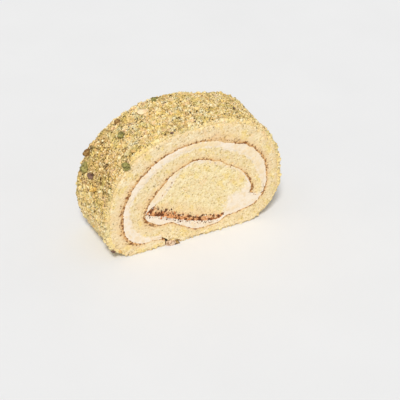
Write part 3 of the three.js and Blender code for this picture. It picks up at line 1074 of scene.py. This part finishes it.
def inner_cream(sizes, material):
    """Cream round the core. It laps over the core, apart from the core's browned edge."""
    around = (INNER_CREAM_START, INNER_CREAM_END, CREAM_GRID)
    angle = even_angles(*around, lambda each: hollow_radius(each % 360))
    round_core, edge = core_edge(EDGE_POINTS)
    core = np.interp(angle % 360, round_core, edge, period=360)
    outer = hollow_radius(angle % 360) + CREAM_OVERLAP
    turned = (angle + 180) % 360 - 180
    crisp = smooth_step(turned, -50, -34) * fade(turned, 76, 90)
    lap = CREAM_LAP + (CREAM_OVERLAP - CREAM_LAP) * crisp
    inner = np.minimum(core, outer - CREAM_OVERLAP) - lap
    shares = INNER_CREAM_CRUMBED, INNER_CREAM_BURNT_AND_SHADE
    return make_cream("cream_round_core", angle, inner, outer, lap, sizes, material, *shares)


# Crumb coat, crumbs and pieces of nut

# Depth under the outline and distance from the cut face, in mm, round the coat's rim.
COAT_RIM = ((-3.2, 1.25), (-2.2, 0.8), (-1.3, 0.6), (-0.5, 0.8), (-0.12, 1.25))
COAT_RIM_WIDTH = 1.6
COAT_INSIDE_ROWS = 5
# Sizes of the coat's lumps and of what bends them, in mm, and their mean height.
LARGE_LUMP = 3.8
SMALL_LUMP = 2.2
TINY_LUMP = 1.4
LUMP_BEND = (0.8, 2.0, 45)
TINY_BEND = (0.3, 0.9, 46)
LUMP_MIDDLE = 0.6
LUMP_HASH = (12.9898, 78.233, 37.719)
# Faces that carry crumbs are smaller than this, in square metres.
LARGEST_OPEN_FACE = 1e-6
# Crumbs of a kind: the smallest radius as a share of the largest.
SMALLEST_CRUMB = 0.4
CHUNK_OVERHANG = 0.7
TINT_STEP = 0.37


def cobbles(points, size, seed):
    """Height of close-packed rounded lumps at each point, and a number of its own for each."""
    found = [noise.voronoi(place) for place in shifted(points, size, seed, CELL_STEP)]
    height = np.array([near[1] - near[0] for near, centres in found])
    own = np.array([centres[0].dot(LUMP_HASH) % 1 for near, centres in found])
    return 1 - (1 - np.minimum(height / 0.6, 1)) ** 2, own


def make_coat(sizes, material):
    """The crust of the slice: lumps of three sizes, rounded off where the knife has cut."""
    pitch = sizes.coat_grid / MM
    angle = even_angles(COAT_START, COAT_END, pitch, outline_radius)
    half = SLICE_LENGTH / 2
    middle = half - COAT_RIM_WIDTH
    rows = int(2 * middle / pitch)
    rim_depth, from_cut = np.array(COAT_RIM).T
    inside = np.linspace(middle, -middle, COAT_INSIDE_ROWS)
    bitten = np.full(COAT_INSIDE_ROWS, -COAT_BITE)
    depth = np.concatenate([rim_depth, np.zeros(rows), rim_depth[::-1], bitten])
    across = [from_cut - half, np.linspace(-middle, middle, rows), (half - from_cut)[::-1], inside]
    share = coat_at(angle)
    radius = outline_radius(angle)[:, None] + depth * (0.35 + 0.65 * share)[:, None]
    points = strip_points(angle[:, None] + 0 * depth, radius, np.concatenate(across))
    shares = np.repeat(share, len(depth))
    turned = np.repeat(angle, len(depth))
    open_all = np.tile(depth > -COAT_BITE, len(angle))

    warped = points + relief(points, LUMP_BEND)[:, None]
    large, large_own = cobbles(warped, LARGE_LUMP, 41)
    small, small_own = cobbles(warped, SMALL_LUMP, 42)
    tiny, tiny_own = cobbles(points + relief(points, TINY_BEND)[:, None], TINY_LUMP, 47)
    rise = relief(points, (0.5, 6.0, 43)) + 0.7 * (large - LUMP_MIDDLE)
    rise += 0.45 * (small - LUMP_MIDDLE)
    rise += 0.3 * (tiny - LUMP_MIDDLE) + 0.5 * (small_own - 0.5) * small
    lift = sizes.coat_relief / MM * rise * np.sqrt(shares) - COAT_SINK * (1 - shares)
    lift += back_rise_at(turned) * smooth_step(points[:, 1], BACK_RISE_FROM, BACK_RISE_TO)
    push_out(points, lift * open_all)
    points[:, 1] += open_all * relief(points, (0.35, 1.4, 44))

    ragged = turned + relief(points, (8, 5.0, 48))
    # Painted light in part: on the left foot the pale bare coat also lifts a place that faces down
    # into shade.
    bare = np.maximum(fade(ragged, *BARE_AND_LIT_LEFT), smooth_step(ragged, *BARE_RIGHT))
    shady = smooth_step(turned, *SHADY_FROM) * fade(turned, *SHADY_TO)
    rim = smooth_step(np.abs(points[:, 1]), half - 2.0, half - 0.5)
    # Painted shade: the coat is darkened where its lumps meet lowest, less on its bare parts and by
    # the cut faces.
    lowest = np.minimum(np.minimum(large + 0.15, small), tiny + 0.08)
    attributes = {
        "crumbly": open_all * smooth_step(shares, 0.0, 0.35) * (1 - 0.55 * bare),
        "crevice": fade(lowest, 0.05, 0.34 + 0.1 * shady) * (1 - 0.8 * bare) * (1 - 0.7 * rim),
        "tint": 0.2 * large_own + 0.4 * small_own + 0.4 * tiny_own - 0.25 * shady,
        "pale": np.maximum(0.9 * bare, 0.5 * rim),
    }
    faces = loft_faces(len(angle), len(depth))
    return make_mesh("crumb_coat", points, faces, material, attributes)


def crumb_ground(names, mark):
    """One bare mesh of surfaces that carry crumbs. The mark says how many they carry where.

    The long faces that run from front to back inside the roll are left out.
    """
    points, faces, marks = [], [], {mark: [], "pale": []}
    for name in names:
        mesh = bpy.data.objects[name].data
        shift = len(points)
        points += [tuple(vertex.co) for vertex in mesh.vertices]
        open_faces = [face for face in mesh.polygons if face.area < LARGEST_OPEN_FACE]
        faces += [tuple(n + shift for n in face.vertices) for face in open_faces]
        for key, values in marks.items():
            values += [value.value for value in mesh.attributes[key].data]
    mesh = bpy.data.meshes.new("crumb_ground")
    mesh.from_pydata(points, [], faces)
    for key, values in zip(("crumbly", "pale"), marks.values()):
        mesh.attributes.new(key, "FLOAT", "POINT").data.foreach_set("value", values)
    return bpy.data.objects.new("crumb_ground", mesh)


def chunk(radius, seed, facets, roughness, stretch):
    """A broken piece of nut: a ball cut flat by a few planes, with rough sides."""
    rng = np.random.default_rng(seed)
    ball = bmesh.new()
    bmesh.ops.create_icosphere(ball, subdivisions=4, radius=1)
    ways = np.array([vertex.co for vertex in ball.verts])
    faces = [tuple(vertex.index for vertex in face.verts) for face in ball.faces]
    ball.free()
    planes = rng.normal(size=(facets, 3))
    planes /= np.linalg.norm(planes, axis=1)[:, None]
    reach = rng.uniform(0.66, 0.95, facets)
    facing = ways @ planes.T
    cut = np.where(facing > 0.05, reach / np.maximum(facing, 0.05), 9).min(1)
    bumps = relief(ways * 3, (roughness, 1.0, seed)) + relief(ways * 8, (roughness, 1.0, seed)) / 2
    shape = ways * (np.minimum(cut, 1.08) + bumps)[:, None] * np.array(stretch)
    turn = Matrix.Rotation(rng.uniform(0, math.tau), 3, "Z")
    turn = turn @ Matrix.Rotation(rng.uniform(0, math.tau), 3, "X")
    return radius * shape @ np.array(turn).T, faces


def make_chunks(kind, material):
    """All pieces of one kind of nut or fruit, set into the crumb coat or caught under the roll."""
    places = []
    for found, angle, along, radius, stand in TOPPINGS:
        if found == kind:
            x, z = point_at(angle, outline_radius(np.array([float(angle)]))[0] + stand * radius)
            places.append(((x, along, z), radius))
    places += [(centre, radius) for found, centre, radius in CAUGHT if found == kind]
    points, faces, tints = [], [], []
    seed, *look = CHUNK_SHAPES[kind]
    for n, (centre, radius) in enumerate(places):
        shape, parts = chunk(radius, seed + 7 * n, *look)
        shift = n * len(shape)
        points.append(shape + np.array(centre))
        faces += [tuple(v + shift for v in part) for part in parts]
        tints += [n * TINT_STEP % 1] * len(shape)
    points = np.concatenate(points)
    reach = SLICE_LENGTH / 2 + CHUNK_OVERHANG
    points[:, 1] = np.clip(points[:, 1], -reach, reach)
    return make_mesh(kind + "_pieces", points, faces, material, {"tint": tints})


# Operators


class CAKE_OT_sponge(bpy.types.Operator):
    """Make the rolled sheet of sponge and the core it starts from"""

    bl_idname = "cake.sponge"
    bl_label = "Sponge"

    def execute(self, context):
        sizes, colours = context.scene.cake_sizes, context.scene.cake_colours
        skin = (colours.skin, colours.dark_skin)
        burnt = (colours.burnt_skin, colours.darkest_skin)
        pale, golden, cream = colours.pale_sponge, colours.golden_sponge, colours.cream
        sheet = sponge_material("sponge", pale, golden, skin, 0.7, 1.4, cream)
        core = sponge_material("core", pale, colours.core_sponge, burnt, 0.85, 2.0, cream)
        finish_piece(make_sheet(sizes, sheet), "sponge_sheet")
        finish_piece(make_core(sizes, core), "sponge_core")
        return {"FINISHED"}


class CAKE_OT_cream(bpy.types.Operator):
    """Make the whipped cream between the turns and round the core"""

    bl_idname = "cake.cream"
    bl_label = "Cream"

    def execute(self, context):
        material = cream_material(context.scene.cake_colours.cream)
        finish_piece(outer_cream(context.scene.cake_sizes, material), "cream_outer")
        finish_piece(inner_cream(context.scene.cake_sizes, material), "cream_inner")
        return {"FINISHED"}


class CAKE_OT_coat(bpy.types.Operator):
    """Make the lumpy layer of crumbs pressed onto the outside"""

    bl_idname = "cake.coat"
    bl_label = "Crumb coat"

    def execute(self, context):
        colours = context.scene.cake_colours
        shades = colours.toasted_crumb, colours.crumb, colours.pale_crumb
        material = coat_material(*shades, colours.crevice, colours.bare_coat)
        finish_piece(make_coat(context.scene.cake_sizes, material), "sponge_sheet")
        return {"FINISHED"}


class CAKE_OT_crumbs(bpy.types.Operator):
    """Scatter the loose crumbs over the coat and the crumbly rims of the cut faces"""

    bl_idname = "cake.crumbs"
    bl_label = "Crumbs"

    def execute(self, context):
        sizes, colours = context.scene.cake_sizes, context.scene.cake_colours
        radius, lump = sizes.crumb_radius, sizes.lump_radius
        crumb, pale, toasted = colours.crumb, colours.pale_crumb, colours.toasted_crumb
        light, olive = colour_of(255, 243, 208), colour_of(178, 164, 92)
        dark, dull = colour_of(54, 38, 16), colour_of(124, 98, 46)
        blackish, tan = colour_of(106, 58, 28), colour_of(212, 134, 80)
        skin, dark_skin, darkest = colours.skin, colours.dark_skin, colours.darkest_skin
        cream, sponge = colours.cream, colours.pale_sponge
        grounds = {
            "coat": crumb_ground(("crumb_coat", "sheet_of_sponge"), "crumbly"),
            "skin": crumb_ground(("sheet_of_sponge",), "browned"),
            "burnt": crumb_ground(("core_of_sponge", "cream_round_core"), "browned"),
            "cream": crumb_ground(("cream_round_core",), "browned"),
            "rim": crumb_ground(("sheet_of_sponge",), "crumbly"),
        }
        # Ground, name, two colours and a rare third, whether the coat's patches run over them,
        # detail, spacing in crumb spacings, largest radius, density, seed and clumping.
        kinds = (
            ("coat", "crumb_lumps", crumb, pale, toasted, 1, 2, 3.6, lump, 4e5, 7, 0.3),
            ("coat", "golden_crumbs", toasted, pale, None, 1, 1, 1.35, radius * 1.25, 2e6, 3, 0.0),
            ("coat", "pale_crumbs", crumb, light, None, 1, 1, 2.1, radius * 0.8, 8e5, 5, 0.6),
            ("coat", "olive_crumbs", olive, crumb, None, 1, 1, 1.6, radius * 1.1, 8e5, 9, 0.8),
            # dark_specks: near-black crumbs, partly dark crumbs and partly painted shade standing for
            # shade between the coat's lumps.
            ("coat", "dark_specks", dark, dull, None, 0, 1, 1.05, radius * 0.85, 1.2e6, 11, 0.7),
            ("rim", "rim_crumbs", crumb, light, None, 1, 1, 0.75, radius * 0.95, 3e6, 6, 0.5),
            ("skin", "skin_crumbs", blackish, skin, None, 0, 1, 0.9, radius * 0.6, 1.6e6, 13, 0.4),
            # burnt_crumbs and cream_specks on the cream by the core: partly burnt crumbs, partly
            # painted shade darkening that strip.
            ("burnt", "burnt_crumbs", darkest, tan, cream, 0, 1, 0.8, radius * 1.15, 3e6, 17, 0.0),
            ("cream", "cream_specks", darkest, dark_skin, None, 0, 1, 0.7, radius * 0.8, 4e6, 19, 0.4),
        )
        for ground, name, first, second, rare, patched, detail, *amounts in kinds:
            apart, largest, density, seed, clumping = amounts
            material = crumb_material(name, first, second, sponge, rare, patched)
            piece = grown_from(
                name, grounds[ground], scatter_tree(material), Spacing=sizes.crumb_spacing * apart,
                Density=density, Smallest=largest * SMALLEST_CRUMB, Largest=largest,
                Detail=detail, Seed=seed, Clumping=clumping,
            )
            piece.data.shade_smooth()
            rest_on_floor(piece.data)
            clean_up(piece.data)
            finish_piece(piece, "sponge_sheet")
        for ground in grounds.values():
            bpy.data.objects.remove(ground)
        return {"FINISHED"}


class CAKE_OT_nuts(bpy.types.Operator):
    """Set the pieces of nut and dried fruit into the coat"""

    bl_idname = "cake.nuts"
    bl_label = "Nuts and fruit"

    def execute(self, context):
        colours = context.scene.cake_colours
        walnut, crust = colour_of(166, 128, 66), colour_of(228, 198, 164)
        peel, almond = colour_of(232, 188, 96), colour_of(246, 218, 172)
        # Flesh, paler flesh, skin, the skin's share and the depth of the grain.
        looks = {
            "pistachio": (colours.pistachio, (182, 172, 102), (88, 78, 34), 0.5, 0.4),
            "walnut": (walnut, (196, 158, 96), (122, 80, 38), 0.5, 0.9),
            "raisin": (colours.raisin, (176, 142, 118), (84, 58, 48), 0.5, 0.9),
            "crust": (crust, (246, 224, 196), (156, 112, 74), 0.5, 0.4),
            "peel": (peel, (246, 214, 134), (190, 142, 62), 0.3, 0.4),
            "almond": (almond, (254, 234, 196), (216, 168, 110), 0.2, 0.4),
        }
        for kind, look in looks.items():
            piece = make_chunks(kind, nut_material(kind, *look))
            finish_piece(piece, "sponge_sheet")
        return {"FINISHED"}


class CAKE_OT_stage(bpy.types.Operator):
    """Set out the floor, the soft lights and the camera"""

    bl_idname = "cake.stage"
    bl_label = "Stage"

    def execute(self, context):
        scene = context.scene
        make_floor()
        light = bpy.data.lights.new("key", "SUN")
        light.angle = KEY_LIGHT_SPREAD
        light.energy = KEY_LIGHT_POWER
        lamp = shown("key", light)
        lamp.location = KEY_LIGHT_FROM
        lamp.rotation_euler = (-Vector(KEY_LIGHT_FROM)).to_track_quat("-Z", "Y").to_euler()
        scene.world = bpy.data.worlds.new("soft_room")
        scene.world.use_nodes = True
        room = scene.world.node_tree.nodes["Background"].inputs
        room["Color"].default_value = (1, 1, 1, 1)
        room["Strength"].default_value = ROOM_LIGHT
        scene.view_settings.view_transform = "Standard"
        camera = shown("camera", bpy.data.cameras.new("camera"))
        camera.data.sensor_width = SENSOR_WIDTH
        camera.data.lens = FOCAL_LENGTH
        camera.matrix_world = camera_place()
        scene.camera = camera
        return {"FINISHED"}


def make_floor():
    shader = Shader("pale_floor", 0.8, 0.2)
    material = shader.finish(shader.mix(shader.noise(60.0, 2), *FLOOR_SHADES))
    mesh = bpy.data.meshes.new("floor")
    corners = [(x * FLOOR_HALF, y * FLOOR_HALF, 0) for x, y in ((-1, -1), (1, -1), (1, 1), (-1, 1))]
    mesh.from_pydata(corners, [], [(0, 1, 2, 3)])
    mesh.materials.append(material)
    shown("floor", mesh)


def camera_place():
    """The camera stands in front of the slice, turned to its left and raised."""
    turn, rise = math.radians(VIEW_AZIMUTH), math.radians(VIEW_ELEVATION)
    right = Vector((math.cos(turn), math.sin(turn), 0))
    level = math.cos(rise)
    back = Vector((math.sin(turn) * level, -math.cos(turn) * level, math.sin(rise)))
    up = back.cross(right)
    turned = Matrix((right, up, back)).transposed()
    place = turned @ Vector(VIEW_OFFSET) * -MM
    return Matrix.Translation(place) @ turned.to_4x4()


class CAKE_PT_panel(bpy.types.Panel):
    """Sizes, colours and steps of the slice"""

    bl_idname = "CAKE_PT_panel"
    bl_label = "Swiss roll slice"
    bl_space_type = "VIEW_3D"
    bl_region_type = "UI"
    bl_category = "Cake"

    def draw(self, context):
        for group in (context.scene.cake_sizes, context.scene.cake_colours):
            for key in group.bl_rna.properties.keys():
                if key not in ("rna_type", "name"):
                    self.layout.prop(group, key)
        for step in STEPS:
            self.layout.operator(step.bl_idname)


STEPS = (CAKE_OT_stage, CAKE_OT_sponge, CAKE_OT_cream, CAKE_OT_coat, CAKE_OT_crumbs, CAKE_OT_nuts)
CLASSES = (CakeSizes, CakeColours, *STEPS, CAKE_PT_panel)


def register():
    for each in CLASSES:
        bpy.utils.register_class(each)
    bpy.types.Scene.cake_sizes = bpy.props.PointerProperty(type=CakeSizes)
    bpy.types.Scene.cake_colours = bpy.props.PointerProperty(type=CakeColours)


def unregister():
    del bpy.types.Scene.cake_sizes
    del bpy.types.Scene.cake_colours
    for each in reversed(CLASSES):
        bpy.utils.unregister_class(each)


def main():
    register()
    for step in STEPS:
        group, name = step.bl_idname.split(".")
        getattr(getattr(bpy.ops, group), name)()


if __name__ == "__main__":
    main()
